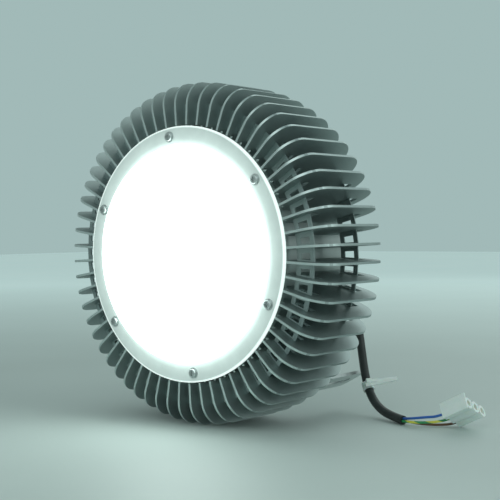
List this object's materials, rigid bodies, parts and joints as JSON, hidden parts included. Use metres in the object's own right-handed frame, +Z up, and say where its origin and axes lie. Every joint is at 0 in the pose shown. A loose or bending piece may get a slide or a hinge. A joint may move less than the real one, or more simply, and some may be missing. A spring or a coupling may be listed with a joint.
{
  "type": "high bay light",
  "caption": "Round industrial ceiling lamp: an opal lens over a board of light sources, ringed by folded sheet cooling fins, with a rear hanger strap and a lead to a terminal strip",
  "frame": {"origin": "middle of the lamp's box without its lead, on the surface it stands on", "axes": "+Z up, lens faces -Y, +X to the right of someone who looks at the back of the lamp"},
  "size_m": [0.3668, 0.1777, 0.2997],
  "materials": {
    "fin_aluminium": "mill-finish sheet, satin, catching the surroundings",
    "core_aluminium": "turned, satin",
    "opal_lens": "opal moulding, glowing evenly over the dome",
    "gasket_rubber": "matt grey",
    "steel": "zinc plated, satin",
    "board_white": "white solder resist",
    "emitter": "phosphor under silicone",
    "driver_case": "satin white",
    "galvanised": "zinc plated strip, satin",
    "black_nylon": "moulded, fine texture",
    "black_sheath": "smooth flexible sheath, slight sheen",
    "wire_green": "insulation, green and yellow",
    "wire_blue": "insulation, blue",
    "wire_brown": "insulation, brown",
    "natural_nylon": "translucent natural moulding",
    "brass": "machined"
  },
  "bodies": {
    "root": {"heat_sink_fins": "fin_aluminium", "heat_sink_core": "core_aluminium", "lens_cover": "opal_lens", "lens_gasket": "gasket_rubber", "lens_washers": "steel", "lens_screws": "steel", "led_board": "board_white", "board_screws": "steel", "led_emitters": "emitter", "driver_case": "driver_case", "driver_screws": "steel", "cover_gasket": "gasket_rubber", "rear_cover": "core_aluminium", "cover_screws": "steel", "hanger_bracket": "galvanised", "hanger_washer": "steel", "hanger_bolt": "steel", "gland_body": "black_nylon", "gland_nut": "black_nylon", "gland_seal": "gasket_rubber", "gland_locknut": "black_nylon", "lead": "black_sheath", "earth_wire": "wire_green", "neutral_wire": "wire_blue", "live_wire": "wire_brown", "cable_ties": "natural_nylon", "terminal_strip": "natural_nylon", "terminal_tubes": "brass", "terminal_screws": "steel"}
  },
  "joints": []
}
